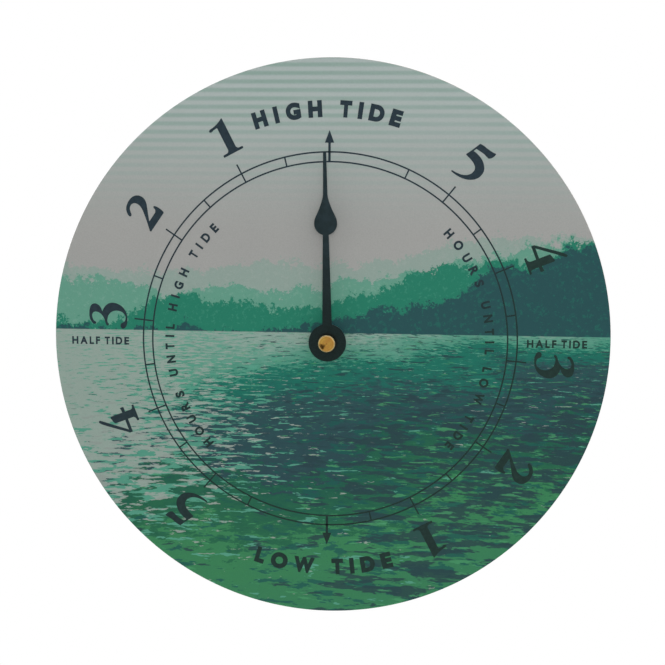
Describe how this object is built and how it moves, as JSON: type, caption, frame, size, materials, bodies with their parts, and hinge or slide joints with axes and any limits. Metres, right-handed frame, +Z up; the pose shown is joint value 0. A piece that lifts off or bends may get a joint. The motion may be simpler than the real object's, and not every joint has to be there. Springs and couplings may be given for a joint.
{
  "type": "tide clock",
  "caption": "Round wall tide clock: printed dial with high and low tide scales, one black spade hand with a knurled brass cap nut, quartz tide movement and keyhole hanger behind.",
  "frame": {"origin": "where the hand's axis meets the wall, on the flat back of the movement's cover", "axes": "+Y out of the back, towards the wall, so the dial faces -Y; +Z up; +X to the right seen from the front"},
  "size_m": [0.2, 0.0314, 0.2],
  "materials": {
    "dial_print": "satin print, pale greys and sea greens",
    "dial_board": "sealed dense fibreboard",
    "hand_black": "satin black",
    "brass": "turned",
    "polished_brass": "turned and polished, knurled edge",
    "steel": "zinc plated",
    "rubber": "matte",
    "black_moulding": "fine spark texture",
    "cell_can": "printed sleeve over a steel can",
    "spring_strip": "nickel plated",
    "board_green": "solder mask",
    "chip_black": "moulded epoxy",
    "crystal_can": "drawn can",
    "natural_moulding": "natural",
    "copper": "enamelled copper wire",
    "soft_iron": "annealed sheet",
    "magnet": "sintered",
    "white_moulding": "acetal",
    "knob_plastic": "moulded"
  },
  "bodies": {
    "movement": {"dial_face": "dial_print", "dial_disc": "dial_board", "hex_nut": "brass", "flat_washer": "steel", "rubber_gasket": "rubber", "wall_hanger": "steel", "movement_case": "black_moulding", "movement_cover": "black_moulding", "centre_bush": "brass", "battery": "cell_can", "positive_contact": "spring_strip", "negative_contact": "spring_strip", "circuit_board": "board_green", "control_chip": "chip_black", "quartz_crystal": "crystal_can", "coil_bobbin": "natural_moulding", "coil_winding": "copper", "coil_leads": "copper", "stator": "soft_iron", "coil_core": "soft_iron", "core_screws": "steel", "core_rivet": "steel", "board_screws": "steel", "bridge_screws": "steel", "train_bridge": "natural_moulding"},
    "hand": {"tide_hand": "hand_black", "hand_collet": "brass", "hand_cap_nut": "polished_brass", "tide_arbor": "brass", "tide_wheel": "white_moulding"},
    "setting": {"setting_arbor": "steel", "setting_knob": "knob_plastic", "clutch_spring": "spring_strip"},
    "rotor": {"rotor_magnet": "magnet", "rotor_pinion": "white_moulding"},
    "first": {"first_wheel": "white_moulding"},
    "second": {"second_wheel": "white_moulding"},
    "third": {"third_wheel": "white_moulding"},
    "clutch": {"clutch_wheel": "white_moulding"}
  },
  "joints": [
    {"name": "hand_turn", "type": "hinge", "parent": "movement", "child": "hand", "pos_m": [0, -0.01, 0], "axis": [0, 1, 0], "continuous": true},
    {"name": "setting_turn", "type": "hinge", "parent": "movement", "child": "setting", "pos_m": [0.00702, -0.01, 0.00837], "axis": [0, 1, 0], "continuous": true},
    {"name": "rotor_turn", "type": "hinge", "parent": "movement", "child": "rotor", "pos_m": [-0.0008, -0.01, 0.01836], "axis": [0, 1, 0], "continuous": true},
    {"name": "first_turn", "type": "hinge", "parent": "movement", "child": "first", "pos_m": [0.00424, -0.01, 0.01836], "axis": [0, 1, 0], "continuous": true},
    {"name": "second_turn", "type": "hinge", "parent": "movement", "child": "second", "pos_m": [0.01144, -0.01, 0.01836], "axis": [0, 1, 0], "continuous": true},
    {"name": "third_turn", "type": "hinge", "parent": "movement", "child": "third", "pos_m": [0.01544, -0.01, 0.01143], "axis": [0, 1, 0], "continuous": true},
    {"name": "clutch_turn", "type": "hinge", "parent": "movement", "child": "clutch", "pos_m": [0.00702, -0.01, 0.00837], "axis": [0, 1, 0], "continuous": true}
  ],
  "couplings": [
    {"joint": "setting_turn", "follows": "hand_turn", "ratio": -7.6667},
    {"joint": "first_turn", "follows": "rotor_turn", "ratio": -0.16667},
    {"joint": "second_turn", "follows": "rotor_turn", "ratio": 0.018519},
    {"joint": "third_turn", "follows": "rotor_turn", "ratio": -0.0020576},
    {"joint": "clutch_turn", "follows": "rotor_turn", "ratio": 0.00034294}
  ]
}
